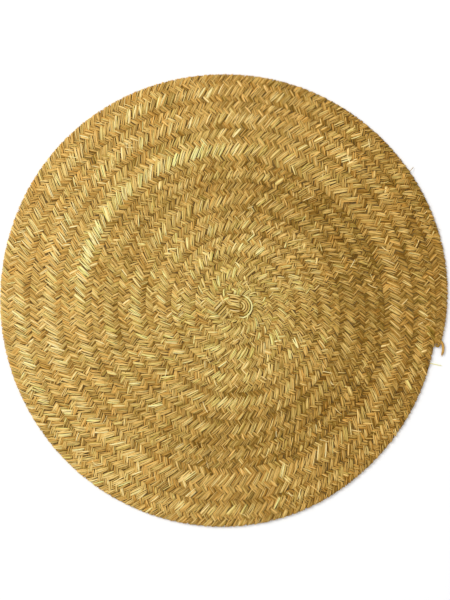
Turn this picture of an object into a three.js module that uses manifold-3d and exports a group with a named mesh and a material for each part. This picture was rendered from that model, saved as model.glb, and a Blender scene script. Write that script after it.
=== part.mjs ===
// A round rug of plaited dry grass: one long flat plait of nine strands, wound flat from the middle
// outwards and sewn edge to edge. Millimetres, +Z up. The underside lies on the plane z = 0.
//
// Places on the plait are given by two numbers. "Wind" counts turns inwards from the right-hand
// direction of the outermost turn, counter-clockwise as seen from above, so the plait's outer end is
// a little below 0. "Across" runs from 0 at the plait's outer edge to 1 at its inner edge, which is
// the outer edge of the next turn in.
import * as THREE from "three";
import { mergeVertices } from "three/addons/utils/BufferGeometryUtils.js";
import Module from "manifold-3d";

// The middle of the coil lies off the middle of the rug, because the outermost turn tapers out.
const COIL_MIDDLE = new THREE.Vector2(35.9, -12.3);

// How far the seam outside each turn lies from the middle of the coil, in eight directions.
const TURNS = [
  { right: 461, topRight: 486, top: 515, topLeft: 538, left: 534, lowLeft: 517, low: 490, lowRight: 454 },
  { right: 438, topRight: 437, top: 456, topLeft: 468, left: 468, lowLeft: 455, low: 433, lowRight: 406 },
  { right: 387, topRight: 383, top: 395, topLeft: 404, left: 398, lowLeft: 384, low: 361, lowRight: 340 },
  { right: 322, topRight: 314, top: 323, topLeft: 331, left: 331, lowLeft: 328, low: 312, lowRight: 297 },
  { right: 279, topRight: 270, top: 275, topLeft: 279, left: 272, lowLeft: 267, low: 253, lowRight: 240 },
  { right: 223, topRight: 213, top: 213, topLeft: 216, left: 210, lowLeft: 203, low: 193, lowRight: 186 },
  { right: 173, topRight: 165, top: 161, topLeft: 158, left: 153, lowLeft: 147, low: 141, lowRight: 136 },
  { right: 124, topRight: 115, top: 109, topLeft: 106, left: 99, lowLeft: 91, low: 86, lowRight: 83 },
  { right: 72, topRight: 62, top: 56, topLeft: 51, left: 46, lowLeft: 42, low: 38, lowRight: 33 },
  { right: 28, topRight: 22, top: 16, topLeft: 11, left: 7, lowLeft: 4, low: 2, lowRight: 0 },
];
const SEAM = TURNS.flatMap((turn) => Object.values(turn));
const DIRECTIONS = Object.keys(TURNS[0]).length;
const OUTER_END_WIND = -0.03;
const STEPS_PER_TURN = 48;
const ROWS = Math.round(((SEAM.length - 1) / DIRECTIONS - OUTER_END_WIND) * STEPS_PER_TURN);

// The plait's section: four ribs of slanting strands between two low, sewn edges.
const EDGE_HEIGHT = 3.4;
const MIDDLE_HEIGHT = 5;
const FULL_WIDTH = 58;
const UNDERSIDE_INSET = 2.5;
const SECTION = [
  { across: 0, rise: 0 },
  { across: 0.11, rise: 3.6 },
  { across: 0.25, rise: 2.3 },
  { across: 0.36, rise: 3.7 },
  { across: 0.47, rise: 2.4 },
  { across: 0.61, rise: 4 },
  { across: 0.76, rise: 2.3 },
  { across: 0.89, rise: 3.6 },
];

// The end of one strand stands loose where the plait stops, and lies on the floor beside it.
const LOOSE_END = {
  thickness: 5.6,
  sides: 8,
  steps: 14,
  path: [
    [436, -73],
    [446, -77],
    [452, -86],
    [453, -98],
    [449.5, -114],
  ],
};

const GRASS = new THREE.MeshStandardMaterial({ color: 0xb4924e, roughness: 0.72, metalness: 0 });

// The seam's distance from the middle at a knot of the table, carried on straight past its first end.
function seamKnot(index) {
  if (index < 0) return SEAM[0] + index * (SEAM[1] - SEAM[0]);
  return SEAM[index] ?? 0;
}

// The seam's distance from the middle at any wind: a smooth curve through the table's knots.
function seamRadius(wind) {
  const place = wind * DIRECTIONS;
  const first = Math.floor(place);
  const t = place - first;
  const [a, b, c, d] = [-1, 0, 1, 2].map((step) => seamKnot(first + step));
  const bend = 2 * a - 5 * b + 4 * c - d;
  const twist = 3 * b - a - 3 * c + d;
  return Math.max(0, b + 0.5 * t * (c - a + t * (bend + t * twist)));
}

// The plait lies between the seam and the same seam one turn further in.
function plaitPoint(wind, across, height) {
  const outer = seamRadius(wind);
  const inner = seamRadius(wind + 1);
  const radius = THREE.MathUtils.lerp(outer, inner, across);
  const angle = 2 * Math.PI * wind;
  return new THREE.Vector3(radius * Math.cos(angle), radius * Math.sin(angle), height);
}

// Where the plait is narrow, near its two ends, its ribs are lower too.
function topPoint(row, { across, rise }) {
  const wind = OUTER_END_WIND + row / STEPS_PER_TURN;
  const width = seamRadius(wind) - seamRadius(wind + 1);
  const share = THREE.MathUtils.clamp(width / FULL_WIDTH, 0.3, 1);
  return plaitPoint(wind, across, EDGE_HEIGHT + rise * share ** 0.5);
}

function undersidePoint(row) {
  const point = plaitPoint(OUTER_END_WIND + row / STEPS_PER_TURN, 0, 0);
  return point.setLength(point.length() - UNDERSIDE_INSET);
}

// Builds the coil as one closed mesh: the ribbed top, the flat underside, the rounded outer edge and
// the plait's cut end, where the outer edge steps in by one plait.
function coilGeometry() {
  const points = [];
  for (let row = 0; row < ROWS; row++) {
    points.push(...SECTION.map((line) => topPoint(row, line)));
  }
  const middle = points.push(new THREE.Vector3(0, 0, MIDDLE_HEIGHT)) - 1;
  const underMiddle = points.push(new THREE.Vector3(0, 0, 0)) - 1;
  const firstUnder = points.length;
  for (let row = 0; row <= STEPS_PER_TURN; row++) points.push(undersidePoint(row));

  // The plait's inner edge is the outer edge of the row one turn further on, or the middle.
  const top = (row, line) => {
    if (line === SECTION.length) return top(row + STEPS_PER_TURN, 0);
    return row < ROWS ? row * SECTION.length + line : middle;
  };
  const under = (row) => firstUnder + row;

  const faces = [];
  const addFace = (a, b, c) => {
    if (a !== b && b !== c && c !== a) faces.push(a, b, c);
  };
  const addQuad = (a, b, c, d) => {
    addFace(a, b, c);
    addFace(a, c, d);
  };

  for (let row = 0; row < ROWS; row++) {
    for (let line = 0; line < SECTION.length; line++) {
      addQuad(top(row, line), top(row + 1, line), top(row + 1, line + 1), top(row, line + 1));
    }
  }

  const inCorner = under(STEPS_PER_TURN);
  for (let row = 0; row < STEPS_PER_TURN; row++) {
    addQuad(under(row), under(row + 1), top(row + 1, 0), top(row, 0));
    addFace(row ? underMiddle : inCorner, under(row + 1), under(row));
  }
  addFace(underMiddle, under(1), inCorner);

  addFace(inCorner, under(0), top(0, 0));
  for (let line = 0; line < SECTION.length; line++) {
    addFace(inCorner, top(0, line), top(0, line + 1));
  }

  const geometry = new THREE.BufferGeometry().setFromPoints(points);
  geometry.setIndex(faces);
  return geometry;
}

function looseEndGeometry() {
  const radius = LOOSE_END.thickness / 2;
  const path = new THREE.CatmullRomCurve3(
    LOOSE_END.path.map(([x, y]) => new THREE.Vector3(x, y, radius / Math.cos(Math.PI / LOOSE_END.sides))),
  );
  const corners = Array.from({ length: LOOSE_END.sides }, (_, side) => {
    const angle = (2 * Math.PI * (side + 0.5)) / LOOSE_END.sides;
    return new THREE.Vector2(radius * Math.cos(angle), radius * Math.sin(angle));
  });
  return new THREE.ExtrudeGeometry(new THREE.Shape(corners), {
    steps: LOOSE_END.steps,
    extrudePath: path,
    bevelEnabled: false,
  });
}

// Joins two closed geometries into one.
async function joined(first, second) {
  const wasm = await Module();
  wasm.setup();
  const [a, b] = [first, second].map((geometry) => {
    geometry.deleteAttribute("normal");
    geometry.deleteAttribute("uv");
    const merged = mergeVertices(geometry, 1e-4);
    return new wasm.Manifold(
      new wasm.Mesh({
        numProp: 3,
        vertProperties: merged.attributes.position.array,
        triVerts: new Uint32Array(merged.index.array),
      }),
    );
  });
  const mesh = a.add(b).getMesh();
  const geometry = new THREE.BufferGeometry();
  geometry.setAttribute("position", new THREE.BufferAttribute(mesh.vertProperties, 3));
  geometry.setIndex(new THREE.BufferAttribute(mesh.triVerts, 1));
  return geometry;
}

const rug = new THREE.Mesh(await joined(coilGeometry(), looseEndGeometry()), GRASS);
rug.name = "plaited_coil";
rug.geometry.computeVertexNormals();
rug.position.set(COIL_MIDDLE.x, COIL_MIDDLE.y, 0);

const part = new THREE.Group();
part.add(rug);

export default part;
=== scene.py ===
"""Dresses the round rug of plaited dry grass, blade by blade, on its packed coil.

Metres, +Z up. A place on the plait is given by its wind, which counts turns inwards from the
right-hand direction of the outermost turn, and by how far it is across the plait, from 0 at the outer
edge to 1 at the inner edge. A length along the plait is measured on its middle line from its outer end.
A tone runs from 0, dark brown, to 1, pale straw. Warmth is reddish above 0 and greenish below it.
"""

import logging
import math
from dataclasses import dataclass, field, replace
from enum import Enum
from typing import NamedTuple

import bpy
import numpy as np
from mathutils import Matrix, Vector


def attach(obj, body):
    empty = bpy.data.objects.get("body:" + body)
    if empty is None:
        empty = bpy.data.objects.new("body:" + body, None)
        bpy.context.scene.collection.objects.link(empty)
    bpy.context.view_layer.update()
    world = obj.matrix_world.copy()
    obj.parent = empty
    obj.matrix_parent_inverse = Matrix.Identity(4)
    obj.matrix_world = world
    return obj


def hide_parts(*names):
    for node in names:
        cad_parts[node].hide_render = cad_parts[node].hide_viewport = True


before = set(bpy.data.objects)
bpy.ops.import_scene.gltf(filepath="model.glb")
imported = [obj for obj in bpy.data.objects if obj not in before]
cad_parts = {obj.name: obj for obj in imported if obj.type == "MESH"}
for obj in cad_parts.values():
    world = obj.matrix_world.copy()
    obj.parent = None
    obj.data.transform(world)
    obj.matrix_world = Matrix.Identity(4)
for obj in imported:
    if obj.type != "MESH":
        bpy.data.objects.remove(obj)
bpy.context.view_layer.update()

MM = 0.001
BODY = "root"
COIL_NODE = "plaited_coil"
log = logging.getLogger("rug")


class Slant(Enum):
    """Which way the blades of a column lean, seen from above."""

    INWARDS = 1
    OUTWARDS = -1

    def turned_over(self) -> "Slant":
        """The lean of the strands that cross below this column."""
        return Slant(-self.value)


class Side(Enum):
    """The face of the plait that a layer of blades shows on."""

    FACE = "face"
    BACK = "back"


class Start(Enum):
    """Where the first end of a blade lies."""

    BELOW = "below the next column"
    SEAM = "in the seam between two turns"
    RIM = "under the rug's rim"


class Turn(NamedTuple):
    """How many millimetres the seam outside one turn lies from the coil's middle, in eight directions."""

    right: float
    top_right: float
    top: float
    top_left: float
    left: float
    low_left: float
    low: float
    low_right: float


TURNS = (
    Turn(right=461, top_right=486, top=515, top_left=538, left=534, low_left=517, low=490, low_right=454),
    Turn(right=438, top_right=437, top=456, top_left=468, left=468, low_left=455, low=433, low_right=406),
    Turn(right=387, top_right=383, top=395, top_left=404, left=398, low_left=384, low=361, low_right=340),
    Turn(right=322, top_right=314, top=323, top_left=331, left=331, low_left=328, low=312, low_right=297),
    Turn(right=279, top_right=270, top=275, top_left=279, left=272, low_left=267, low=253, low_right=240),
    Turn(right=223, top_right=213, top=213, top_left=216, left=210, low_left=203, low=193, low_right=186),
    Turn(right=173, top_right=165, top=161, top_left=158, left=153, low_left=147, low=141, low_right=136),
    Turn(right=124, top_right=115, top=109, top_left=106, left=99, low_left=91, low=86, low_right=83),
    Turn(right=72, top_right=62, top=56, top_left=51, left=46, low_left=42, low=38, low_right=33),
    Turn(right=28, top_right=22, top=16, top_left=11, left=7, low_left=4, low=2, low_right=0),
)


def on_curve(knots: np.ndarray, spot: np.ndarray) -> tuple[np.ndarray, np.ndarray]:
    """Follows a smooth curve through evenly spaced knots.

    Args:
        knots: The knots, as numbers or as rows.
        spot: Places on the curve, where 0 is the second knot and 1 the third.

    Returns:
        The curve's points and its slopes there.
    """
    first = np.floor(spot).astype(int)
    t = (spot - first).reshape(np.shape(spot) + (1,) * (knots.ndim - 1))
    a, b, c, d = (knots[np.clip(first + k, 0, len(knots) - 1)] for k in range(4))
    bend = 2 * a - 5 * b + 4 * c - d
    twist = 3 * b - a - 3 * c + d
    point = b + 0.5 * t * (c - a + t * (bend + t * twist))
    slope = 0.5 * (c - a + t * (2 * bend + 3 * t * twist))
    return point, slope


@dataclass
class Coil:
    """The line that the plait is wound on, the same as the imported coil's.

    Attributes:
        middle: The coil's middle in the frame.
        turns: The seam's table, a row for each turn.
        outer_end: The wind at which the plait stops.
        inner_end: The wind at which it starts, at the middle.
        step: The spacing of the places at which lengths are worked out.
        spare: How far those places go past the outer end.
        winds: Those places.
        lengths: The plait's length at each of them.
    """

    middle: tuple[float, float] = (0.0359, -0.0123)
    turns: tuple[Turn, ...] = TURNS
    outer_end: float = -0.03
    inner_end: float = 9.86
    step: float = 0.001
    spare: float = 0.03
    winds: np.ndarray = field(init=False)
    lengths: np.ndarray = field(init=False)

    def __post_init__(self) -> None:
        """Works out the plait's length from its outer end at close places."""
        self.winds = np.arange(self.outer_end - self.spare, self.inner_end, self.step)
        line = self.place(self.winds, np.full_like(self.winds, 0.5))
        run = np.linalg.norm(np.diff(line, axis=0), axis=1)
        self.lengths = np.concatenate([[0.0], np.cumsum(run)])
        self.lengths -= np.interp(self.outer_end, self.winds, self.lengths)

    def seam(self, wind: np.ndarray) -> np.ndarray:
        """The outer seam's distance from the middle.

        Args:
            wind: Places along the plait.

        Returns:
            The distances, on a smooth curve through the table.
        """
        table = np.array(self.turns).ravel() * MM
        step = table[1] - table[0]
        directions = len(self.turns[0])
        knots = np.concatenate([[table[0] - 2 * step, table[0] - step], table, np.zeros(directions + 4)])
        radius, _ = on_curve(knots, np.asarray(wind) * directions + 1)
        return np.maximum(0, radius)

    def width(self, wind: np.ndarray) -> np.ndarray:
        """The plait's width at each wind."""
        return self.seam(wind) - self.seam(np.asarray(wind) + 1)

    def place(self, wind: np.ndarray, across: np.ndarray) -> np.ndarray:
        """Places on the plait as points of the frame.

        Args:
            wind: Turns inwards.
            across: Shares of the plait's width.

        Returns:
            Points as rows of x and y.
        """
        outer = self.seam(wind)
        radius = outer + (self.seam(wind + 1) - outer) * across
        angle = 2 * np.pi * wind
        x = self.middle[0] + radius * np.cos(angle)
        y = self.middle[1] + radius * np.sin(angle)
        return np.stack([x, y], -1)

    def wind_at(self, length: np.ndarray) -> np.ndarray:
        """The wind at a length along the plait."""
        return np.interp(length, self.lengths, self.winds)

    def length_at(self, wind: np.ndarray) -> np.ndarray:
        """The length along the plait at a wind."""
        return np.interp(wind, self.winds, self.lengths)


class Column(NamedTuple):
    """One herringbone column of the plait, between two shares of its width.

    Its crest is how far it stands above the plait's mean, and its tone and warmth are added to its
    blades'. In the wide plait the tones follow the crests: the higher columns are painted lighter and
    the lower ones darker, as painted light and shade.
    """

    outer: float
    inner: float
    slant: Slant
    crest: float = 0.0
    tone: float = 0.0
    warmth: float = 0.0


# The tones here are partly painted light on the high third column and painted shade on the low fourth one.
WIDE_PLAIT = (
    Column(outer=0.0, inner=0.25, slant=Slant.INWARDS, crest=-0.0003, tone=-0.022),
    Column(outer=0.25, inner=0.46, slant=Slant.OUTWARDS, tone=-0.005, warmth=0.08),
    Column(outer=0.46, inner=0.77, slant=Slant.INWARDS, crest=0.0008, tone=0.095, warmth=-0.12),
    Column(outer=0.77, inner=1.0, slant=Slant.OUTWARDS, crest=-0.0006, tone=-0.07, warmth=0.02),
)
NARROW_PLAIT = (
    Column(outer=0.0, inner=0.52, slant=Slant.INWARDS),
    Column(outer=0.52, inner=1.0, slant=Slant.OUTWARDS),
)


class Stretch(NamedTuple):
    """A length of the plait with one set of columns, between two winds."""

    start: float
    stop: float
    columns: tuple[Column, ...]


@dataclass
class Floats:
    """Where each visible piece of strand lies, one entry for each in every array.

    Attributes:
        length: Its middle's length along the plait.
        wind: Its middle's wind.
        across: Its middle's share of the width.
        reach: Half its run across the plait, as a share of the width.
        run: Half its run along the plait, negative where it leans outwards.
        pitch: The spacing along the plait at its place.
        strand: The number of the strand that it belongs to.
        column: The number of its column.
        last: The number of the last column there.
        crest: How far its middle stands above the mean.
        tone: Its column's tone.
        warmth: Its column's warmth.
    """

    length: np.ndarray
    wind: np.ndarray
    across: np.ndarray
    reach: np.ndarray
    run: np.ndarray
    pitch: np.ndarray
    strand: np.ndarray
    column: np.ndarray
    last: np.ndarray
    crest: np.ndarray
    tone: np.ndarray
    warmth: np.ndarray

    def only(self, keep: np.ndarray) -> "Floats":
        """The floats that keep is true for."""
        return Floats(*(getattr(self, name)[keep] for name in self.__dataclass_fields__))

    @staticmethod
    def joined(parts: list["Floats"]) -> "Floats":
        """All the parts' floats in one set."""
        names = Floats.__dataclass_fields__
        return Floats(*(np.concatenate([getattr(p, name) for p in parts]) for name in names))


@dataclass
class Plait:
    """The plait's own layout: its columns, and the places of the strands' floats in them.

    Attributes:
        coil: The line that it is wound on.
        slant: The angle between the blades and the plait's length, in degrees.
        strands: How many strands it is plaited from.
        pitches: The spacing of the floats in each turn, from outside.
        full_width: The width at which the floats have their full pitch.
        narrowest: The least share of that width that counts.
        step: The spacing of the places at which the layout is worked out.
        stretches: The columns along its length.
    """

    coil: Coil
    slant: float = 54
    strands: int = 9
    pitches: tuple[float, ...] = (
        0.0147, 0.0152, 0.0157, 0.0138, 0.0141, 0.0146, 0.0147, 0.0138, 0.0130, 0.0110,
    )
    full_width: float = 0.045
    narrowest: float = 0.45
    step: float = 0.0005
    stretches: tuple[Stretch, ...] = (
        Stretch(start=-0.028, stop=0.055, columns=NARROW_PLAIT),
        Stretch(start=0.055, stop=8.93, columns=WIDE_PLAIT),
        Stretch(start=8.93, stop=9.60, columns=NARROW_PLAIT),
    )

    def floats(self, side: Side) -> Floats:
        """Finds every float of one side.

        Args:
            side: The face or the back, whose blades lean the other way.

        Returns:
            The floats, in order of stretch, column and length.
        """
        parts = []
        for stretch in self.stretches:
            ends = [float(self.coil.length_at(wind)) for wind in (stretch.start, stretch.stop)]
            length = np.arange(*ends, self.step)
            wind = self.coil.wind_at(length)
            width = self.coil.width(wind)
            pitch = np.interp(wind, np.arange(len(self.pitches)) + 0.5, self.pitches)
            pitch *= np.clip(width / self.full_width, self.narrowest, 1) ** 0.5
            phase = np.concatenate([[0.0], np.cumsum(np.diff(length) / pitch[:-1])])
            # Where two columns meet, their floats' ends lie half a pitch apart.
            shift = np.zeros_like(length)
            before = None
            for number, column in enumerate(stretch.columns):
                slant = column.slant if side is Side.FACE else column.slant.turned_over()
                reach = (column.inner - column.outer) / 2
                run = reach * width / math.tan(math.radians(self.slant))
                if before is not None:
                    was_slant, was_run = before
                    shift = shift + was_slant.value * was_run + slant.value * run + pitch / 2
                marks = phase - shift / pitch
                counts = np.arange(math.ceil(marks[0]), math.floor(marks[-1]) + 1)
                at = np.interp(counts, marks, length)
                many = len(at)
                parts.append(
                    Floats(
                        length=at,
                        wind=self.coil.wind_at(at),
                        across=np.full(many, (column.inner + column.outer) / 2),
                        reach=np.full(many, reach),
                        run=slant.value * np.interp(at, length, run),
                        pitch=np.interp(at, length, pitch),
                        strand=(counts + 2 * number) % self.strands,
                        column=np.full(many, number),
                        last=np.full(many, len(stretch.columns) - 1),
                        crest=np.full(many, column.crest),
                        tone=np.full(many, column.tone),
                        warmth=np.full(many, column.warmth),
                    )
                )
                before = (slant, run)
        return Floats.joined(parts)


@dataclass(frozen=True)
class Tint:
    """A stretch of floats with a tone or warmth of its own.

    Attributes:
        start: Wind at which it begins.
        stop: Wind at which it ends.
        column: Its column, or -1 for all.
        tone: What it adds to the floats' tone.
        warmth: What it adds to their warmth.
    """

    start: float
    stop: float
    column: int = -1
    tone: float = 0.0
    warmth: float = 0.0


TINTS = (
    Tint(start=0.0, stop=0.22, tone=-0.03),
    Tint(start=0.22, stop=0.5, warmth=0.1),
    Tint(start=0.75, stop=1.1, tone=-0.04),
    Tint(start=2.12, stop=2.52, tone=0.05, warmth=-0.08),
    Tint(start=2.25, stop=2.47, column=2, tone=0.10, warmth=-0.12),
    Tint(start=2.7, stop=3.15, tone=-0.05),
    Tint(start=3.7, stop=4.2, tone=-0.04),
    Tint(start=1.140, stop=1.163, column=2, tone=0.12),
    Tint(start=1.200, stop=1.222, column=0, tone=0.12),
    Tint(start=1.935, stop=1.960, column=1, tone=0.12),
    Tint(start=2.410, stop=2.490, column=2, tone=0.08),
    Tint(start=4.485, stop=4.520, column=2, tone=0.12),
    Tint(start=4.710, stop=4.750, column=2, tone=0.12),
    Tint(start=4.870, stop=4.910, column=0, tone=0.15),
    Tint(start=6.040, stop=6.085, column=2, tone=0.15),
    Tint(start=6.180, stop=6.225, column=2, tone=0.13),
    Tint(start=6.490, stop=6.540, column=1, tone=0.13),
)


@dataclass(frozen=True)
class WearAndLight:
    """How the grass has faded over the whole rug, with painted light that makes its left side paler.

    Attributes:
        mean: The tone before anything is added.
        left_light: How much paler the tone gets with each metre to the left: painted light from the lit
            side.
        redden: How much warmer it gets with each metre to the right.
        winds: Places along the plait.
        tones: What the tone gains there.
        warmths: What the warmth gains there.
        strands: What the tone gains in each strand.
        wave: The height of a slow wave of tone along each strand.
        wave_rate: The wave's radians for each metre.
        wave_lag: Its radians from one strand to the next.
    """

    mean: float = 0.53
    left_light: float = 0.24
    redden: float = 0.15
    winds: tuple[float, ...] = (0.5, 1.5, 2.6, 3.3, 4.5, 5.5, 6.5, 7.8, 8.2, 9.0)
    tones: tuple[float, ...] = (0.0, 0.015, -0.045, -0.055, -0.02, 0.01, 0.035, 0.065, 0.105, 0.13)
    warmths: tuple[float, ...] = (0.25, 0.31, 0.20, 0.13, 0.11, 0.08, -0.03, -0.18, -0.32, -0.28)
    strands: tuple[float, ...] = (0.015, -0.015, 0.01, 0.02, -0.01, 0.0, -0.02, 0.015, -0.01)
    wave: float = 0.03
    wave_rate: float = 7.3
    wave_lag: float = 2.1

    def tone_of(self, floats: Floats, x: np.ndarray) -> np.ndarray:
        """The tone of each float.

        Args:
            floats: The floats.
            x: How far right each lies in the frame.

        Returns:
            The tones.
        """
        strand = np.array(self.strands)[floats.strand]
        wave = np.sin(floats.length * self.wave_rate + floats.strand * self.wave_lag) * self.wave
        gain = np.interp(floats.wind, self.winds, self.tones)
        # The paler left side is painted light.
        return self.mean - x * self.left_light + strand + wave + floats.tone + gain

    def warmth_of(self, floats: Floats, x: np.ndarray) -> np.ndarray:
        """The warmth of each float, from how far right each lies."""
        return floats.warmth + np.interp(floats.wind, self.winds, self.warmths) + x * self.redden


class MeshParts(NamedTuple):
    """A mesh before it is an object: points, faces with equal corner counts, and values at the points."""

    points: np.ndarray
    faces: np.ndarray
    numbers: dict[str, np.ndarray]
    bake_map: np.ndarray | None = None


def make_object(name: str, parts: MeshParts, material: bpy.types.Material) -> bpy.types.Object:
    """Makes a smooth mesh object of the rug, which rides on the part's one body.

    Args:
        name: The piece's name.
        parts: Its points, faces and values at its points.
        material: Its finish.

    Returns:
        The new object.
    """
    mesh = bpy.data.meshes.new(name)
    many, sides = parts.faces.shape
    corners = parts.faces.ravel().astype(np.int32)
    mesh.vertices.add(len(parts.points))
    mesh.vertices.foreach_set("co", parts.points.astype(np.float32).ravel())
    mesh.loops.add(len(corners))
    mesh.loops.foreach_set("vertex_index", corners)
    mesh.polygons.add(many)
    mesh.polygons.foreach_set("loop_start", np.arange(0, len(corners), sides, dtype=np.int32))
    mesh.update(calc_edges=True)
    mesh.polygons.foreach_set("use_smooth", np.ones(many, bool))
    for key, values in parts.numbers.items():
        kind, item = ("FLOAT_VECTOR", "vector") if values.ndim == 2 else ("FLOAT", "value")
        data = mesh.attributes.new(key, kind, "POINT").data
        data.foreach_set(item, values.astype(np.float32).ravel())
    if parts.bake_map is not None:
        layer = mesh.uv_layers.new(name="OFBake")
        layer.data.foreach_set("uv", parts.bake_map[corners].astype(np.float32).ravel())
    mesh.validate()
    mesh.materials.append(material)
    made = bpy.data.objects.new(name, mesh)
    bpy.context.scene.collection.objects.link(made)
    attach(made, BODY)
    return made


@dataclass
class Shade:
    """A node's socket, so that shader maths is written as Python sums.

    Attributes:
        tree: The material's node tree.
        socket: The output that it stands for.
    """

    tree: bpy.types.NodeTree
    socket: bpy.types.NodeSocket

    @classmethod
    def node(
        cls,
        tree: bpy.types.NodeTree,
        kind: str,
        settings: dict | None = None,
        inputs: dict | None = None,
        output: int | str = 0,
    ) -> "Shade":
        """Adds a node to a tree.

        Args:
            tree: The node tree.
            kind: The node's type.
            settings: Its properties, set first; stops sets a ramp's places and colours.
            inputs: Values or links by the socket's name or number.
            output: The name or number of the output that is wanted.

        Returns:
            The node's output.
        """
        made = tree.nodes.new(kind)
        for key, value in (settings or {}).items():
            if key == "stops":
                ramp = made.color_ramp
                while len(ramp.elements) < len(value):
                    ramp.elements.new(1.0)
                for element, (place, colour) in zip(ramp.elements, value):
                    element.position = place
                    element.color = (*colour, 1.0)
            else:
                setattr(made, key, value)
        for key, value in (inputs or {}).items():
            if isinstance(value, Shade):
                tree.links.new(value.socket, made.inputs[key])
            else:
                made.inputs[key].default_value = value
        return cls(tree, made.outputs[output])

    def feed(self, shader: bpy.types.Node, name: str) -> None:
        """Links this value to one of a shader's inputs."""
        self.tree.links.new(self.socket, shader.inputs[name])

    def _sum(self, operation: str, one: "Shade | float", two: "Shade | float") -> "Shade":
        """One Math node."""
        return Shade.node(self.tree, "ShaderNodeMath", {"operation": operation}, {0: one, 1: two})

    def __add__(self, other: "Shade | float") -> "Shade":
        """self + other."""
        return self._sum("ADD", self, other)

    def __radd__(self, other: float) -> "Shade":
        """other + self."""
        return self._sum("ADD", other, self)

    def __sub__(self, other: "Shade | float") -> "Shade":
        """self - other."""
        return self._sum("SUBTRACT", self, other)

    def __rsub__(self, other: float) -> "Shade":
        """other - self."""
        return self._sum("SUBTRACT", other, self)

    def __mul__(self, other: "Shade | float") -> "Shade":
        """self * other."""
        return self._sum("MULTIPLY", self, other)

    def __rmul__(self, other: float) -> "Shade":
        """other * self."""
        return self._sum("MULTIPLY", other, self)


def new_finish(name: str) -> tuple[bpy.types.Material, bpy.types.Node]:
    """Makes a material with only its main shader.

    Args:
        name: The material's name.

    Returns:
        The material and its Principled shader.
    """
    material = bpy.data.materials.new(name)
    material.use_nodes = True
    return material, material.node_tree.nodes["Principled BSDF"]


@dataclass(frozen=True)
class GrassFinish:
    """Dry grass: straw yellow to brown by tone, with fibres along the blade.

    Attributes:
        name: The material's name.
        stops: Colours from the darkest tone to the palest.
        warm: What a warm blade's colour is multiplied by.
        olive: What a greenish blade's colour is multiplied by.
        fibre_scale: How fine the fibres are along the blade, across it and from blade to blade.
        patch_scale: The same for broader patches.
        fibre: How much the fibres change the tone.
        patch: How much the patches change it.
        shine: The strength of its highlights.
        roughness: The least roughness.
        rougher: What the fibres add to it.
        bump: The strength of the fibres' relief.
        relief: Its height.
    """

    name: str = "dry_grass"
    stops: tuple = (
        (0.0, (0.105, 0.047, 0.003)),
        (0.25, (0.290, 0.158, 0.016)),
        (0.5, (0.572, 0.362, 0.090)),
        (0.75, (0.815, 0.588, 0.200)),
        (1.0, (0.965, 0.830, 0.420)),
    )
    warm: tuple = (1.06, 0.88, 0.66)
    olive: tuple = (0.89, 1.0, 0.72)
    fibre_scale: tuple = (60, 2200, 1)
    patch_scale: tuple = (90, 200, 1)
    fibre: float = 0.30
    patch: float = 0.25
    shine: float = 0.15
    roughness: float = 0.52
    rougher: float = 0.2
    bump: float = 0.25
    relief: float = 0.0004

    def build(self) -> bpy.types.Material:
        """Makes the material.

        Returns:
            The material.
        """
        material, shader = new_finish(self.name)
        tree = material.node_tree
        tone, warmth, grain = (
            Shade.node(tree, "ShaderNodeAttribute", {"attribute_name": name}, output=output)
            for name, output in (("tone", "Fac"), ("warmth", "Fac"), ("grain", "Vector"))
        )
        fibres = self.noise(grain, self.fibre_scale, {"Detail": 2.0, "Roughness": 0.6})
        patches = self.noise(grain, self.patch_scale, {"Detail": 1.0})
        shown = tone + (fibres - 0.5) * self.fibre + (patches - 0.5) * self.patch
        base = Shade.node(tree, "ShaderNodeValToRGB", {"stops": self.stops}, {0: shown})
        warmed = self.dyed(base, warmth, self.warm)
        self.dyed(warmed, warmth * -1.0, self.olive).feed(shader, "Base Color")
        (self.roughness + fibres * self.rougher).feed(shader, "Roughness")
        relief = {"Strength": self.bump, "Distance": self.relief, "Height": fibres}
        Shade.node(tree, "ShaderNodeBump", None, relief).feed(shader, "Normal")
        shader.inputs["Specular IOR Level"].default_value = self.shine
        return material

    def noise(self, grain: Shade, scale: tuple, inputs: dict) -> Shade:
        """Noise in a blade's own directions.

        Args:
            grain: Places along and across the blade, and its own number.
            scale: How fine the noise is in each of them.
            inputs: The noise's other inputs.

        Returns:
            The noise.
        """
        tree = grain.tree
        fine = Shade.node(tree, "ShaderNodeVectorMath", {"operation": "MULTIPLY"}, {0: grain, 1: scale})
        inputs = {"Vector": fine, "Scale": 1.0, **inputs}
        return Shade.node(tree, "ShaderNodeTexNoise", {"noise_dimensions": "3D"}, inputs)

    def dyed(self, colour: Shade, amount: Shade, by: tuple) -> Shade:
        """Multiplies a colour by another, as far as the amount says."""
        settings = {"data_type": "RGBA", "blend_type": "MULTIPLY", "clamp_factor": True}
        return Shade.node(colour.tree, "ShaderNodeMix", settings, {0: amount, 6: colour, 7: (*by, 1)}, 2)


@dataclass(frozen=True)
class InsideShadeFinish:
    """The plait's inside, seen only through gaps between the blades, coloured dark as painted shade in
    those gaps.

    Attributes:
        name: The material's name.
        dark: Its darkest colour.
        light: Its lightest colour.
        scale: How fine its mottling is.
        roughness: The least roughness.
    """

    name: str = "plait_inside_painted_shade"
    dark: tuple = (0.095, 0.050, 0.006)
    light: tuple = (0.260, 0.150, 0.022)
    scale: float = 160.0
    roughness: float = 0.7

    def build(self) -> bpy.types.Material:
        """Makes the material.

        Returns:
            The material.
        """
        material, shader = new_finish(self.name)
        tree = material.node_tree
        where = Shade.node(tree, "ShaderNodeTexCoord", output="Object")
        noise = Shade.node(
            tree, "ShaderNodeTexNoise", None, {"Vector": where, "Scale": self.scale, "Detail": 3.0}
        )
        stops = ((0.3, self.dark), (0.7, self.light))
        Shade.node(tree, "ShaderNodeValToRGB", {"stops": stops}, {0: noise}).feed(shader, "Base Color")
        (self.roughness + noise * 0.2).feed(shader, "Roughness")
        return material


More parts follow.
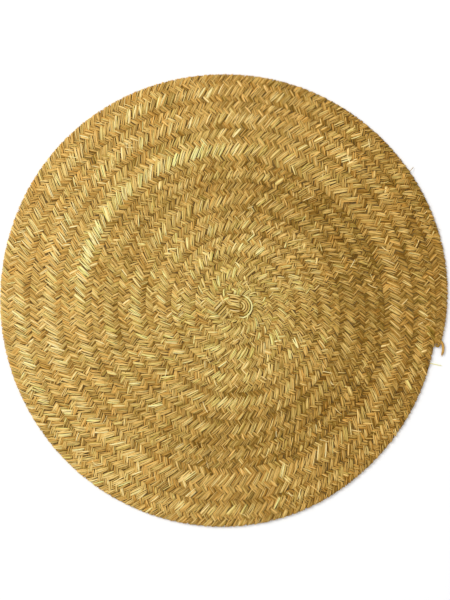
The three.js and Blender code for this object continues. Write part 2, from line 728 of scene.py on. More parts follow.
@dataclass
class Core:
    """The plait's inside: one closed solid just below the blades, wound as they are.

    Attributes:
        coil: The line that it is wound on.
        steps: Sections in each turn.
        section: Shares across the plait and the heights there.
        floor_gap: How high its underside is.
        inset: How far its rim stands back from the outline.
    """

    coil: Coil
    steps: int = 96
    section: tuple[tuple[float, float], ...] = (
        (0.0, 0.0034),
        (0.14, 0.0043),
        (0.5, 0.0046),
        (0.86, 0.0043),
    )
    floor_gap: float = 0.0018
    inset: float = 0.0035

    def build(self, material: bpy.types.Material) -> bpy.types.Object:
        """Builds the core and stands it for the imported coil.

        Args:
            material: Its finish.

        Returns:
            The core.
        """
        lines = len(self.section)
        rows = int((self.coil.inner_end - self.coil.outer_end) * self.steps)
        wind = self.coil.outer_end + np.arange(rows) / self.steps
        top = np.stack(
            [
                np.column_stack([self.coil.place(wind, np.full(rows, share)), np.full(rows, height)])
                for share, height in self.section
            ],
            1,
        ).reshape(-1, 3)
        rim = self.rim()
        # The top's outer line stands back too, where it is the rug's rim.
        top[: self.steps * lines : lines, :2] = rim[: self.steps]
        under = np.column_stack([rim, np.full(len(rim), self.floor_gap)])
        centre = [[*self.coil.middle, self.section[0][1]], [*self.coil.middle, self.floor_gap]]
        points = np.concatenate([top, centre, under])
        made = make_object("plait_core", MeshParts(points, self.faces(rows), {}), material)
        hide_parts(COIL_NODE)
        return made

    def rim(self) -> np.ndarray:
        """Follows the rim, set back from the outline.

        Returns:
            The line's points, as rows of x and y.
        """
        wind = self.coil.outer_end + np.arange(self.steps + 1) / self.steps
        line = self.coil.place(wind, np.zeros(self.steps + 1))
        away = line - np.array(self.coil.middle)
        return line - away / np.linalg.norm(away, axis=1)[:, None] * self.inset

    def faces(self, rows: int) -> np.ndarray:
        """The core's triangles: its top, its rim, its underside and the plait's cut end.

        Args:
            rows: How many sections the top has.

        Returns:
            The triangles, as numbers of points.
        """
        lines = len(self.section)
        middle = rows * lines
        under_middle = middle + 1
        first_under = middle + 2
        corner = first_under + self.steps

        def at(row: int, line: int) -> int:
            """Finds a point on the top.

            Args:
                row: Its section.
                line: Its place in the section; the one past the last is the next turn's first.

            Returns:
                The point's number.
            """
            if line == lines:
                return at(row + self.steps, 0)
            return row * lines + line if row < rows else middle

        faces = []
        for row in range(rows):
            for line in range(lines):
                near, far = at(row, line), at(row + 1, line + 1)
                faces += [(near, at(row + 1, line), far), (near, far, at(row, line + 1))]
        for row in range(self.steps):
            one, two = first_under + row, first_under + row + 1
            faces += [(one, two, at(row + 1, 0)), (one, at(row + 1, 0), at(row, 0))]
            faces.append((under_middle if row else corner, two, one))
        faces.append((under_middle, first_under + 1, corner))
        faces.append((corner, first_under, at(0, 0)))
        faces += [(corner, at(0, line), at(0, line + 1)) for line in range(lines)]
        return np.array([face for face in faces if len(set(face)) == 3])


# A blade's section: its two borders and two lines on its back.
CROSS = np.array([-0.5, -0.24, 0.24, 0.5])
CROWN = np.array([0.0, 1.0, 1.0, 0.0])
LANES = len(CROSS)
POINT_WIDTH = 0.12
# A blade's cell on the bake's map is this many times as long as it is wide.
CELL_SHAPE = 7.0
# The width that a blade's grain is laid over, and how far apart the blades' grains are.
GRAIN_WIDTH = 0.003
GRAIN_SPREAD = 400


def tapered(rings: int) -> np.ndarray:
    """Narrows a blade at its two points.

    Args:
        rings: How many rings it has.

    Returns:
        Its width at each ring as a share of its full width, in a column.
    """
    taper = np.ones((rings, 1))
    taper[[0, -1]] = POINT_WIDTH
    return taper


def spread(many: int) -> np.ndarray:
    """Places of blades side by side, from -0.5 to 0.5 of their bundle's width."""
    return (np.arange(many) + 0.5) / many - 0.5


class BladeSet(NamedTuple):
    """Blades with the same number of rings, a row for each in every array.

    Their points and tones have an entry for each ring and section point, metres is how far each ring is
    along the blade, place sorts them on the bake's map, and turned marks those wound the other way.
    """

    points: np.ndarray
    tone: np.ndarray
    warmth: np.ndarray
    metres: np.ndarray
    place: np.ndarray
    turned: np.ndarray


def joined_blades(sets: list[BladeSet], rng: np.random.Generator) -> MeshParts:
    """Joins blades into one mesh and lays each in a cell of its own on the bake's map.

    Args:
        sets: The blades.
        rng: The random numbers that set each blade's fibres apart.

    Returns:
        The mesh's parts.
    """
    total = sum(len(blades.place) for blades in sets)
    rows = max(1, int(round(math.sqrt(total / CELL_SHAPE))))
    columns = math.ceil(total / rows)
    order = np.argsort(np.argsort(np.concatenate([blades.place for blades in sets])))
    points, faces, maps, grains, tones, warmths = [], [], [], [], [], []
    start, before = 0, 0
    for blades in sets:
        many, rings = blades.metres.shape
        shape = (many, rings, LANES)
        corner = start + np.arange(math.prod(shape)).reshape(shape)[:, :-1, :-1]
        found = np.stack([corner, corner + 1, corner + LANES + 1, corner + LANES], -1)
        found[blades.turned] = found[blades.turned][..., ::-1]
        faces.append(found.reshape(-1, 4))
        number = order[before : before + many]
        cell = np.stack([number % columns, number // columns], -1)[:, None, None, :]
        spot = np.stack(np.broadcast_arrays(CROSS * 0.8 + 0.5, np.linspace(0.03, 0.97, rings)[:, None]), -1)
        maps.append(((cell + spot) / (columns, rows)).reshape(-1, 2))
        ids = rng.uniform(0, GRAIN_SPREAD, many)[:, None, None]
        grain = np.stack(np.broadcast_arrays(blades.metres[:, :, None], CROSS * GRAIN_WIDTH, ids), -1)
        grains.append(grain.reshape(-1, 3))
        points.append(blades.points.reshape(-1, 3))
        tones.append(np.broadcast_to(blades.tone, shape).reshape(-1))
        warmths.append(np.broadcast_to(blades.warmth[:, None, None], shape).reshape(-1))
        start += math.prod(shape)
        before += many
    numbers = {"tone": tones, "warmth": warmths, "grain": grains}
    return MeshParts(
        points=np.concatenate(points),
        faces=np.concatenate(faces),
        numbers={name: np.concatenate(values) for name, values in numbers.items()},
        bake_map=np.concatenate(maps),
    )


@dataclass(frozen=True)
class Wisp:
    """A bundle of blades on a path of its own, where it leaves the even plait.

    Attributes:
        path: Points that it follows, from the coil's middle.
        blades: How many blades lie side by side in it.
        width: The bundle's width.
        tone: Its tone.
        warmth: Its warmth.
        arch: How much its middle blades stand above its outer ones.
        fray: How unevenly its blades end.
        thick: A blade's greatest thickness.
        lowest: The least height of any point.
    """

    path: tuple[tuple[float, float, float], ...]
    blades: int
    width: float
    tone: float = 0.55
    warmth: float = 0.0
    arch: float = 0.0010
    fray: float = 0.06
    thick: float = 0.0011
    lowest: float = 0.0001

    def swept(self, middle: tuple[float, float], rings: int, rng: np.random.Generator) -> BladeSet:
        """Sweeps the bundle's blades along its path.

        Args:
            middle: The coil's middle.
            rings: The rings of each blade.
            rng: The random numbers.

        Returns:
            The blades.
        """
        knots = np.array(self.path, float)
        knots = np.concatenate([[2 * knots[0] - knots[1]], knots, [2 * knots[-1] - knots[-2]]])
        ends = rng.uniform(0, self.fray, (self.blades, 2))
        share = ends[:, :1] + (1 - ends.sum(1))[:, None] * np.linspace(0, 1, rings)
        line, slope = on_curve(knots, share * (len(self.path) - 1))
        flat = slope[..., :2] / np.maximum(np.linalg.norm(slope[..., :2], axis=-1, keepdims=True), 1e-9)
        left = np.stack([-flat[..., 1], flat[..., 0]], -1)
        # The bundle is narrower at its ends, and its blades drift across it a little.
        place = spread(self.blades)
        drift = rng.normal(0, 0.05, self.blades)[:, None] * (share - 0.5)
        narrow = 1 - 0.25 * (2 * share - 1) ** 2
        beside = (place[:, None] * narrow + drift) * self.width
        room = self.width / self.blades
        wide = room * rng.uniform(0.75, 1.1, self.blades)
        reach = beside[:, :, None] - wide[:, None, None] * tapered(rings) * CROSS
        ground = line[:, :, None, :2] + left[:, :, None, :] * reach[..., None] + np.array(middle)
        rise = self.arch * (1 - (2 * place) ** 2)[:, None, None]
        crown = min(self.thick, room * 0.45) * tapered(rings) * CROWN
        level = np.maximum(line[:, :, 2:3] + rise + crown, self.lowest)
        run = np.linalg.norm(np.diff(line, axis=1), axis=-1)
        # Its outer blades are a little darker, and so are all their ends: painted shade where they lie low
        # beside and under their neighbours.
        tone = self.tone + rng.normal(0, 0.13, self.blades) - 0.08 * (2 * place) ** 2
        end_shade = 0.14 * np.clip(np.abs(2 * share - 1) * 3 - 2, 0, 1)
        return BladeSet(
            points=np.concatenate([ground, level[..., None]], -1),
            tone=tone[:, None, None] - end_shade[:, :, None],
            warmth=self.warmth + rng.normal(0, 0.3, self.blades),
            metres=np.concatenate([np.zeros((self.blades, 1)), np.cumsum(run, 1)], 1),
            place=place,
            turned=np.ones(self.blades, bool),
        )


@dataclass
class LooseWork:
    """The blades that leave the even plait: its start, its end, and stray blades all over.

    Attributes:
        plait: The layout of the floats.
        rings: The rings of each blade.
        strays: How many stray blades lie on the face.
        stray_start: The least length along the plait at which one lies.
        stray_stop: The wind beyond which none lies.
        stray_across: The shares of the plait's width that they lie between.
        stray_length: The shortest and longest of them.
        stray_width: The narrowest and widest of them.
        stray_height: How high their middles lie.
        stray_drop: How much lower their ends lie.
        stray_lean: The mean and the spread of their angle to the plait's length, in degrees.
        stray_bow: The spread of how far their middles are drawn aside.
        stray_tones: The tones that they may have.
        stray_chances: How often they have each.
        seed: The start of the random numbers.
    """

    plait: Plait
    rings: int = 10
    strays: int = 260
    stray_start: float = 0.05
    stray_stop: float = 8.6
    stray_across: tuple[float, float] = (0.08, 0.92)
    stray_length: tuple[float, float] = (0.012, 0.034)
    stray_width: tuple[float, float] = (0.0010, 0.0018)
    stray_height: float = 0.0072
    stray_drop: float = 0.0022
    stray_lean: tuple[float, float] = (52, 22)
    stray_bow: float = 0.0012
    stray_tones: tuple[float, ...] = (0.34, 0.6, 0.84)
    stray_chances: tuple[float, ...] = (0.25, 0.4, 0.35)
    seed: int = 23

    def build(self, material: bpy.types.Material) -> list[bpy.types.Object]:
        """Builds the loose work's pieces.

        Args:
            material: Their finish.

        Returns:
            The pieces.
        """
        rng = np.random.default_rng(self.seed)
        groups = {"plait_start": self.start(), "plait_end": self.end(), "stray_blades": self.stray(rng)}
        made = []
        for name, wisps in groups.items():
            sets = [wisp.swept(self.plait.coil.middle, self.rings, rng) for wisp in wisps]
            made.append(make_object(name, joined_blades(sets, rng), material))
        return made

    def start(self) -> list[Wisp]:
        """Lays out the plait's start: a stack of short floats, curls on its right and a fan on its left.

        Returns:
            Its bundles.
        """
        wisps = []
        # A bed of blades closes the gaps below the rest.
        for step in range(14):
            y = 0.034 - 0.0050 * step
            half = 0.034 - 0.0004 * (step - 7) ** 2
            ends = [(x, y - 0.002, 0.0042) for x in (-half - 0.006, half - 0.006)]
            path = (ends[0], (-0.004, y + 0.002, 0.0047), ends[1])
            wisps.append(Wisp(path=path, blades=4, width=0.0056, tone=0.28, warmth=0.1, arch=0.0002))
        # The stack's floats lie across the plait, one below the other.
        for step, tone in enumerate((0.74, 0.58, 0.84, 0.62, 0.80, 0.56, 0.84, 0.66)):
            y = 0.0235 - 0.0056 * step
            lean = 0.0014 * math.sin(step * 1.9)
            top = (-0.012, y + lean, 0.0078)
            path = ((-0.025, y + 0.002, 0.0050), top, (0.002, y - 0.003 - lean, 0.0052))
            wisps.append(Wisp(path=path, blades=2, width=0.0035, tone=tone))
        # The curls are one bend, each drawn in from the last.
        bend = ((1, 25), (16, 19), (25, 7), (26, -7), (19, -19), (6, -26), (-16, -21))
        curls = ((1.0, 7, 0.92), (0.79, 6, 0.80), (0.58, 6, 0.64), (0.37, 6, 0.76), (0.17, 6, 0.6))
        for inset, points, tone in curls:
            path = tuple((x * inset * MM, y * inset * MM, 0.0068) for x, y in bend[:points])
            wisps.append(Wisp(path=path, blades=2, width=0.0037, tone=tone, warmth=-0.3, fray=0.1))
        # Two pale floats lie over the stack's upper end.
        for x, y in ((-0.012, 0.031), (0.001, 0.032)):
            path = ((x - 0.001, y - 0.005, 0.0050), (x + 0.001, y, 0.0066), (x + 0.003, y + 0.005, 0.0050))
            wisps.append(Wisp(path=path, blades=3, width=0.0056, tone=0.94, warmth=-0.5, arch=0.0012))
        for step, tone in enumerate((0.56, 0.80, 0.50, 0.72, 0.52, 0.76)):
            x, y = -0.051 + 0.0040 * step, 0.005 - 0.0052 * step
            path = ((x - 0.012, y - 0.013, 0.0042), (x, y, 0.0072), (x + 0.011, y + 0.012, 0.0044))
            wisps.append(Wisp(path=path, blades=3, width=0.0046, tone=tone, warmth=-0.2, arch=0.0015))
        return wisps

    def end(self) -> list[Wisp]:
        """Lays out the plait's end: strands cut on a slant, one knotted round, and one that hangs loose.

        Returns:
            Its bundles.
        """
        loose = ((0.436, -0.073), (0.446, -0.077), (0.452, -0.086), (0.453, -0.098), (0.4495, -0.114))
        low = tuple((x, y, 0.0012) for x, y in loose)
        high = tuple((x, y, z) for (x, y), z in zip(loose, (0.0050, 0.0048, 0.0042, 0.0040, 0.0034)))
        wisps = [
            Wisp(path=low, blades=4, width=0.0062, tone=0.40, warmth=0.45, arch=0.0004, fray=0.10),
            Wisp(path=high, blades=4, width=0.0054, tone=0.46, warmth=0.45, fray=0.10),
        ]
        # The last strands, bent over the cut end.
        bent = ((0.420, -0.048, 0.36), (0.426, -0.054, 0.28), (0.421, -0.062, 0.40), (0.429, -0.068, 0.34))
        for x, y, tone in bent:
            path = ((x - 0.009, y + 0.010, 0.0040), (x, y, 0.0062), (x + 0.009, y - 0.010, 0.0042))
            wisps.append(Wisp(path=path, blades=4, width=0.0072, tone=tone, warmth=-0.6, arch=0.0012))
        # The knot goes round twice, and short ends hang from it.
        turns = [math.radians(d) for d in (150, 90, 30, -30, -90, -150, -200)]
        for radius, height in ((0.0042, 0.0034), (0.0030, 0.0058)):
            path = tuple(
                (0.4400 + radius * math.cos(d), -0.0865 + radius * math.sin(d), height) for d in turns
            )
            wisps.append(Wisp(path=path, blades=3, width=0.0042, tone=0.38, warmth=0.40, fray=0.12))
        for step in range(4):
            x, y = 0.4290 + 0.0038 * step, -0.0925 + 0.0042 * step
            top = (x + 0.001, y + 0.010, 0.0062)
            path = ((x - 0.003, y + 0.020, 0.0042), top, (x + 0.003, y - 0.002, 0.0018))
            wisps.append(Wisp(path=path, blades=3, width=0.0046, tone=0.45, warmth=0.25, fray=0.2))
        # Two single blades stick out past the rim.
        thin = ((0.4030, -0.1236, 0.0014), (0.4290, -0.1287, 0.0010), (0.4527, -0.1338, 0.0006))
        short = ((0.3740, 0.2970, 0.0052), (0.3820, 0.3040, 0.0046), (0.3875, 0.3105, 0.0020))
        wisps.append(Wisp(path=thin, blades=1, width=0.0016, tone=0.85, warmth=-0.9))
        wisps.append(Wisp(path=short, blades=1, width=0.0014, tone=0.6))
        return wisps

    def stray(self, rng: np.random.Generator) -> list[Wisp]:
        """Scatters single blades across the floats at odd angles.

        Args:
            rng: The random numbers.

        Returns:
            The blades.
        """
        coil = self.plait.coil
        wisps = []
        stop = float(coil.length_at(self.stray_stop))
        for length in rng.uniform(self.stray_start, stop, self.strays):
            wind = float(coil.wind_at(length))
            across = rng.uniform(*self.stray_across)
            x, y = coil.place(np.array([wind]), np.array([across]))[0] - np.array(coil.middle)
            way = rng.choice((-1, 1))
            lean = 2 * math.pi * wind + math.pi / 2 + way * math.radians(rng.normal(*self.stray_lean))
            half = rng.uniform(*self.stray_length) / 2
            bow = rng.normal(0, self.stray_bow)
            dx, dy = half * math.cos(lean), half * math.sin(lean)
            low = self.stray_height - self.stray_drop
            middle = (x - dy / half * bow, y + dx / half * bow, self.stray_height)
            path = ((x - dx, y - dy, low), middle, (x + dx, y + dy, low))
            tone = rng.choice(self.stray_tones, p=self.stray_chances)
            wisps.append(Wisp(path=path, blades=1, width=rng.uniform(*self.stray_width), tone=tone))
        return wisps


class Odd(NamedTuple):
    """What some floats or blades gain, and the share of them that does."""

    share: float
    gain: float

    def drawn(self, many: int, rng: np.random.Generator) -> np.ndarray:
        """The gain where it falls, and 0 elsewhere."""
        return self.gain * (rng.random(many) < self.share)


@dataclass(frozen=True)
class Unevenness:
    """How far floats and blades are from even, as a spread about the mean.

    Attributes:
        float_along: A float's place along the plait, in pitches.
        float_across: Its place across, as a share of the plait's width.
        float_size: Its reach and its run, as shares of themselves.
        float_tone: Its tone.
        float_warmth: Its warmth.
        beside: A blade's place in its float, in pitches.
        width: The narrowest and widest blade, as shares of its room.
        twist: How far it turns out of line, in pitches.
        lift: How far it lies above its place.
        ends: The length of its ends, as a share of themselves.
        tone: Its tone.
        warmth: Its warmth.
    """

    float_along: float = 0.06
    float_across: float = 0.012
    float_size: float = 0.06
    float_tone: float = 0.022
    float_warmth: float = 0.12
    beside: float = 0.03
    width: tuple[float, float] = (0.60, 1.02)
    twist: float = 0.075
    lift: float = 0.0003
    ends: float = 0.05
    tone: float = 0.10
    warmth: float = 0.30


class Station(NamedTuple):
    """One ring of a blade: its place along the blade, its height and its lean from upright."""

    along: float
    height: float
    lean: float = 0.0


class Blades(NamedTuple):
    """What sets the blades of some floats apart, an entry for each blade in every array.

    Owner is the number of its float, offset its place along the plait beside its float's middle, width
    its width along the plait, twist how far it turns out of line, and lift how far it lies above its
    place.
    """

    owner: np.ndarray
    offset: np.ndarray
    width: np.ndarray
    twist: np.ndarray
    lift: np.ndarray
    tone: np.ndarray
    warmth: np.ndarray

    def only(self, keep: np.ndarray) -> "Blades":
        """The blades that keep is true for."""
        return Blades(*(values[keep] for values in self))


@dataclass
class BladeLayer:
    """The blades of one side of the plait, a piece for each turn.

    Attributes:
        plait: The layout of the floats.
        side: The face or the back.
        per_float: How many blades a float may have.
        chances: How often it has each number.
        crest: A blade's height at the middle of its float.
        dip: Its height at its hidden ends.
        span: How far along the float those lie, in halves of it.
        arch: How much a float's middle blades stand above its outer ones.
        thick: A blade's thickness.
        underside: The height about which the back's blades are turned over.
        lowest: The least height of any point.
        least_width: The least width of the plait that a blade's rim is measured in.
        edge_inset: How far the blades' bends stand in from the plait's edges.
        edge_shade: The width of the band of painted shade along each edge.
        uneven: How uneven it all is.
        pale_float: The paler floats.
        dark_float: The darker floats.
        red_blade: The reddish blades.
        pale_blade: The paler blades, which are wider too.
        wear_and_light: How the grass has faded, with painted light on its left side.
        tints: Stretches with a tone of their own.
        seed: The start of its random numbers.
    """

    plait: Plait
    side: Side
    per_float: tuple[int, ...] = (4, 5, 6)
    chances: tuple[float, ...] = (0.35, 0.45, 0.2)
    crest: float = 0.0055
    dip: float = 0.0034
    span: float = 1.36
    arch: float = 0.0016
    thick: float = 0.0011
    underside: float = 0.0078
    lowest: float = 0.00005
    least_width: float = 0.004
    edge_inset: float = 0.0012
    edge_shade: float = 0.006
    uneven: Unevenness = Unevenness()
    pale_float: Odd = Odd(share=0.03, gain=0.10)
    dark_float: Odd = Odd(share=0.05, gain=-0.10)
    red_blade: Odd = Odd(share=0.035, gain=0.7)
    pale_blade: Odd = Odd(share=0.045, gain=0.24)
    wear_and_light: WearAndLight = WearAndLight()
    tints: tuple[Tint, ...] = ()
    seed: int = 7

    def free(self, along: float) -> Station:
        """A station of the stretch that lies on the plait."""
        drop = abs(along / self.span) ** 2.4
        return Station(along, self.dip + (self.crest - self.dip) * (1 - drop))

    def stations(self, start: Start) -> tuple[Station, ...]:
        """The rings of a blade from its start to its end.

        Args:
            start: Where its start lies.

        Returns:
            The stations, the first and last of them its points.
        """
        if self.side is Side.BACK:
            rest = (0.0, 0.75, self.span)
            if start is Start.BELOW:
                first = (self.free(-self.span), self.free(-0.75))
            else:
                first = (Station(-1.0, 0.0036), Station(-0.9, 0.0050), self.free(-0.5))
        else:
            rest = (0.0, 0.6, 1.1, self.span)
            if start is Start.RIM:
                first = (
                    Station(-0.66, 0.0008, 170),
                    Station(-0.90, 0.0013, 140),
                    Station(-1.0, 0.0029, 90),
                    Station(-0.86, 0.0047, 35),
                    Station(-0.5, 0.0056, 5),
                )
            elif start is Start.SEAM:
                bend = (Station(-1.1, 0.0024), Station(-1.0, 0.0038, 20), Station(-0.84, 0.0049, 8))
                first = (*bend, self.free(-0.5))
            else:
                first = tuple(self.free(along) for along in (-self.span, -1.1, -0.6))
        return (*first, *(self.free(along) for along in rest))

    def build(self, material: bpy.types.Material) -> list[bpy.types.Object]:
        """Builds the layer's pieces.

        Args:
            material: Their finish.

        Returns:
            The pieces, from the outermost turn.
        """
        rng = np.random.default_rng(self.seed)
        floats = self.plait.floats(self.side)
        if self.side is Side.FACE:
            floats = floats.only(~self.under_the_start(floats))
        made = []
        for turn in range(math.ceil(self.plait.coil.inner_end)):
            # The plait's outer end, which lies before wind 0, goes with the first turn.
            mine = floats.only(np.maximum(np.floor(floats.wind), 0) == turn)
            name = f"plait_{self.side.value}_turn_{turn}"
            made.append(make_object(name, self.blades(mine, rng), material))
        return made

    def blades(self, floats: Floats, rng: np.random.Generator) -> MeshParts:
        """Builds the blades of some floats as one mesh.

        Args:
            floats: The floats.
            rng: The random numbers.

        Returns:
            The mesh's parts.
        """
        counts = rng.choice(self.per_float, len(floats.wind), p=self.chances)
        tone, warmth = self.colours(floats, rng)
        floats = self.unevened(floats, rng)
        owner = np.repeat(np.arange(len(counts)), counts)
        place = np.concatenate([spread(count) for count in counts])
        many = len(owner)
        uneven = self.uneven
        pitch = floats.pitch[owner]
        offset = (place + rng.normal(0, uneven.beside, many)) * 0.95 * pitch
        width = 1.0 / counts[owner] * pitch * rng.uniform(*uneven.width, many)
        twist = rng.normal(0, uneven.twist, many) * pitch
        lift = floats.crest[owner] + rng.normal(0, uneven.lift, many)
        # A float's outer blades are a little darker than its middle ones: painted shade where the
        # neighbouring floats shadow them.
        tone = tone[owner] + rng.normal(0, uneven.tone, many) - 0.09 * (2 * place) ** 2 + 0.04
        warmth = warmth[owner] + rng.normal(0, uneven.warmth, many) + self.red_blade.drawn(many, rng)
        # The pale blades are wider, and the palest of all the blades are less warm.
        paler = self.pale_blade.drawn(many, rng)
        tone = tone + paler
        warmth = warmth - 0.35 * np.clip((tone - 0.72) * 5, 0, 1)
        width = width * (1 + 0.25 * (paler > 0))
        every = Blades(owner, offset, width, twist, lift, tone, warmth)
        starts = self.starts(floats)[owner]
        sets = [
            self.some_blades(floats, every.only(starts == start), start, rng)
            for start in Start
            if (starts == start).any()
        ]
        return joined_blades(sets, rng)

    def under_the_start(self, floats: Floats) -> np.ndarray:
        """Finds the floats that would lie where the plait's start is.

        Args:
            floats: The floats.

        Returns:
            True for each of those.
        """
        from_middle = self.plait.coil.place(floats.wind, floats.across) - np.array(self.plait.coil.middle)
        x, y = from_middle[:, 0], from_middle[:, 1]
        in_stack = (np.abs(x + 0.012) < 0.010) & (np.abs(y - 0.005) < 0.022)
        in_curls = (np.hypot(x, y) < 0.0240) & ((x > -0.001) | (y < -0.014))
        in_fan = (np.abs(x + 0.041) < 0.011) & (np.abs(y + 0.009) < 0.013)
        return in_stack | in_curls | in_fan

    def starts(self, floats: Floats) -> np.ndarray:
        """Finds where each float's first end lies.

        Args:
            floats: The floats.

        Returns:
            A Start for each.
        """
        outer = floats.column == 0
        found = np.full(len(floats.wind), Start.BELOW, dtype=object)
        found[outer | (floats.column == floats.last)] = Start.SEAM
        found[outer & (floats.wind < self.plait.coil.outer_end + 1)] = Start.RIM
        return found

    def unevened(self, floats: Floats, rng: np.random.Generator) -> Floats:
        """Moves each float a little out of its even place.

        Args:
            floats: The floats.
            rng: The random numbers.

        Returns:
            The moved floats.
        """
        many = len(floats.wind)
        uneven = self.uneven
        middle = (floats.column > 0) & (floats.column < floats.last)
        return replace(
            floats,
            length=floats.length + floats.pitch * rng.normal(0, uneven.float_along, many),
            across=floats.across + middle * rng.normal(0, uneven.float_across, many),
            reach=floats.reach * np.where(middle, 1 + rng.normal(0, uneven.float_size, many), 1),
            run=floats.run * (1 + rng.normal(0, uneven.float_size, many)),
        )

    def some_blades(
        self, floats: Floats, blades: Blades, start: Start, rng: np.random.Generator
    ) -> BladeSet:
        """Builds blades that have the same stations.

        Args:
            floats: The floats that they belong to.
            blades: The blades.
            start: Where their first ends lie.
            rng: The random numbers.

        Returns:
            The blades.
        """
        coil = self.plait.coil
        mine = floats.only(blades.owner)
        stations = self.stations(start)
        along, height, lean = np.array(stations).T
        lean = np.radians(lean)[:, None]
        # A blade of the first column starts at the outer edge, and one of the last at the inner edge.
        way = np.where(mine.column == mine.last, -1.0, 1.0)
        run = mine.run * way
        reach = mine.reach * way
        ends = 1 + self.uneven.ends * rng.normal(0, 1, (len(way), 2))
        stretch = np.where(along < 0, ends[:, :1], ends[:, 1:])
        if start is not Start.BELOW:
            stretch = np.where(along < 0, 1.0, stretch)
        # The strand that crosses over a float cuts its end off at that strand's own slant.
        cut = np.clip(-blades.offset / (2 * run), -0.6, 0.6)
        cut_share = np.ones(len(along)) if start is Start.BELOW else np.clip((along + 1) / 2, 0, 1)
        tau = along * stretch + cut[:, None] * cut_share
        narrow = 1 - 0.10 * np.minimum(np.abs(along), 1.2) ** 2
        side = (blades.offset[:, None] + blades.twist[:, None] * tau) * narrow
        straight = mine.length[:, None] + run[:, None] * tau
        taper = tapered(len(along))
        length = (straight + side)[:, :, None] + blades.width[:, None, None] * taper * CROSS
        beside = np.clip((length - straight[:, :, None]) / mine.pitch[:, None, None] * 2, -1.1, 1.1)
        out = self.thick * CROWN * taper + self.arch * (1 - beside**2) + blades.lift[:, None, None]
        level = height[:, None] + out * np.cos(lean)
        if self.side is Side.BACK:
            level = self.underside - level
        wind = coil.wind_at(length)
        width = np.maximum(coil.width(wind), self.least_width)
        outwards = (out * np.sin(lean) - self.edge_inset * (lean > 0.5)) * way[:, None, None] / width
        across = (mine.across[:, None] + reach[:, None] * tau)[:, :, None] - outwards
        points = [coil.place(wind, across), np.maximum(level, self.lowest)[..., None]]
        # Painted shade: the blades are darker near the plait's edges, in the seams' grooves, and at their
        # ends, where they dive below other floats.
        near_edge = np.clip(1 - np.minimum(across, 1 - across) * width / self.edge_shade, 0, 1)
        end_shade = np.clip((np.abs(along) - 0.8) / 0.4, 0, 1)[:, None]
        return BladeSet(
            points=np.concatenate(points, -1),
            tone=blades.tone[:, None, None] - 0.03 * near_edge - 0.10 * end_shade,
            warmth=blades.warmth,
            metres=tau * np.hypot(run, reach * 0.06)[:, None],
            place=mine.length + mine.across * 1e-4,
            turned=reach < 0 if self.side is Side.FACE else reach > 0,
        )

    def colours(self, floats: Floats, rng: np.random.Generator) -> tuple[np.ndarray, np.ndarray]:
        """Chooses each float's tone and warmth.

        Args:
            floats: The floats.
            rng: The random numbers.

        Returns:
            The tones and the warmths.
        """
        many = len(floats.wind)
        x = self.plait.coil.place(floats.wind, floats.across)[:, 0]
        tone = self.wear_and_light.tone_of(floats, x) + rng.normal(0, self.uneven.float_tone, many)
        tone = tone + self.pale_float.drawn(many, rng) + self.dark_float.drawn(many, rng)
        warmth = self.wear_and_light.warmth_of(floats, x) + rng.normal(0, self.uneven.float_warmth, many)
        for tint in self.tints:
            inside = (floats.wind >= tint.start) & (floats.wind < tint.stop)
            if tint.column >= 0:
                inside &= floats.column == tint.column
            tone = tone + tint.tone * inside
            warmth = warmth + tint.warmth * inside
        return tone, warmth


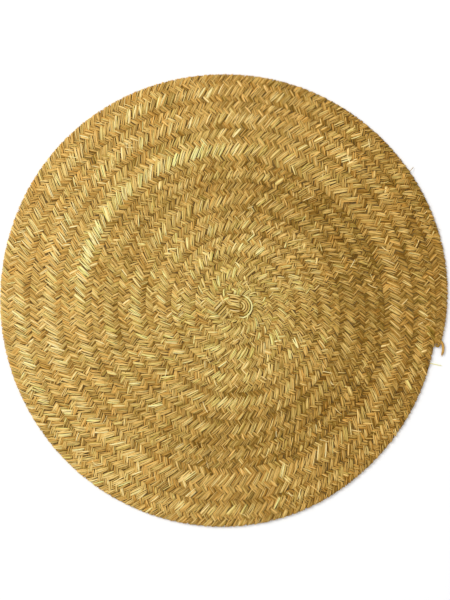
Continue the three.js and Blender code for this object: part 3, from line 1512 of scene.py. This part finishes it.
@dataclass
class Studio:
    """The plain pale floor, the soft lights and the camera.

    Attributes:
        floor_size: The floor's side.
        floor_gap: How far it lies below the rug.
        floor_colour: Its colour.
        sky: The strength of the light from all round.
        key_size: The lamp's width.
        key_power: The lamp's strength in watts.
        key_place: Where the lamp stands.
        camera_height: How high the camera stands.
        view_middle: The point that it looks straight down at.
        view_height: How much of the floor the picture's height takes in.
    """

    floor_size: float = 14.0
    floor_gap: float = 0.0002
    floor_colour: tuple[float, ...] = (0.92, 0.92, 0.92, 1)
    sky: float = 0.75
    key_size: float = 4.0
    key_power: float = 420
    key_place: tuple[float, float, float] = (-4.6, 3.6, 6.0)
    camera_height: float = 6.0
    view_middle: tuple[float, float] = (0.0025, 0.0011)
    view_height: float = 1.338

    def build(self) -> None:
        """Makes the floor, the lights and the camera."""
        self.floor()
        self.lights()
        self.camera()

    def floor(self) -> None:
        """Lays the floor just below the rug."""
        half = self.floor_size / 2
        mesh = bpy.data.meshes.new("floor")
        corners = [(-half, -half, 0), (half, -half, 0), (half, half, 0), (-half, half, 0)]
        mesh.from_pydata(corners, [], [(0, 1, 2, 3)])
        material, shader = new_finish("floor_paint")
        shader.inputs["Base Color"].default_value = self.floor_colour
        shader.inputs["Roughness"].default_value = 0.9
        mesh.materials.append(material)
        floor = bpy.data.objects.new("floor", mesh)
        floor.location.z = -self.floor_gap
        bpy.context.scene.collection.objects.link(floor)

    def lights(self) -> None:
        """Lights the rug softly from the upper left."""
        scene = bpy.context.scene
        scene.view_settings.view_transform = "Standard"
        world = bpy.data.worlds.new("studio")
        world.use_nodes = True
        background = world.node_tree.nodes["Background"]
        background.inputs["Color"].default_value = (1, 1, 1, 1)
        background.inputs["Strength"].default_value = self.sky
        scene.world = world
        data = bpy.data.lights.new("key", "AREA")
        data.shape = "DISK"
        data.size = self.key_size
        data.energy = self.key_power
        key = bpy.data.objects.new("key", data)
        key.location = self.key_place
        key.rotation_mode = "QUATERNION"
        key.rotation_quaternion = (-Vector(key.location)).to_track_quat("-Z", "Y")
        scene.collection.objects.link(key)

    def camera(self) -> None:
        """Hangs the camera straight above the rug, with the picture's top towards +Y."""
        data = bpy.data.cameras.new("camera")
        data.lens = data.sensor_width * self.camera_height / self.view_height
        data.clip_end = 100
        camera = bpy.data.objects.new("camera", data)
        camera.location = (*self.view_middle, self.camera_height)
        bpy.context.scene.collection.objects.link(camera)
        bpy.context.scene.camera = camera


@dataclass
class Rug:
    """The whole rug: its core, the blades of its face and back, and its start, end and stray blades.

    Attributes:
        coil: The line that the plait is wound on.
        flat_size: The laid rug's size; not used.
        area: Its area in square metres; not used.
    """

    coil: Coil = field(default_factory=Coil)
    flat_size: tuple[float, float] = (0.996, 1.008)
    area: float = 0.786

    def build(self) -> None:
        plait = Plait(self.coil)
        grass = GrassFinish().build()
        core = Core(self.coil).build(InsideShadeFinish().build())
        face = BladeLayer(plait, Side.FACE, tints=TINTS)
        fewer = {"per_float": (2, 3), "chances": (0.5, 0.5)}
        back = BladeLayer(plait, Side.BACK, arch=0.0008, thick=0.0009, seed=11, **fewer)
        pieces = [*face.build(grass), *back.build(grass), *LooseWork(plait).build(grass)]
        total = 0
        for piece in [core, *pieces]:
            triangles = sum(len(face.vertices) - 2 for face in piece.data.polygons)
            total += triangles
            log.info("%s has %d triangles", piece.name, triangles)
        log.info("the rug has %d triangles", total)


def main() -> None:
    """Builds the rug and its studio in order."""
    logging.basicConfig(level=logging.INFO, format="%(name)s: %(message)s")
    Rug().build()
    Studio().build()


if __name__ == "__main__":
    main()
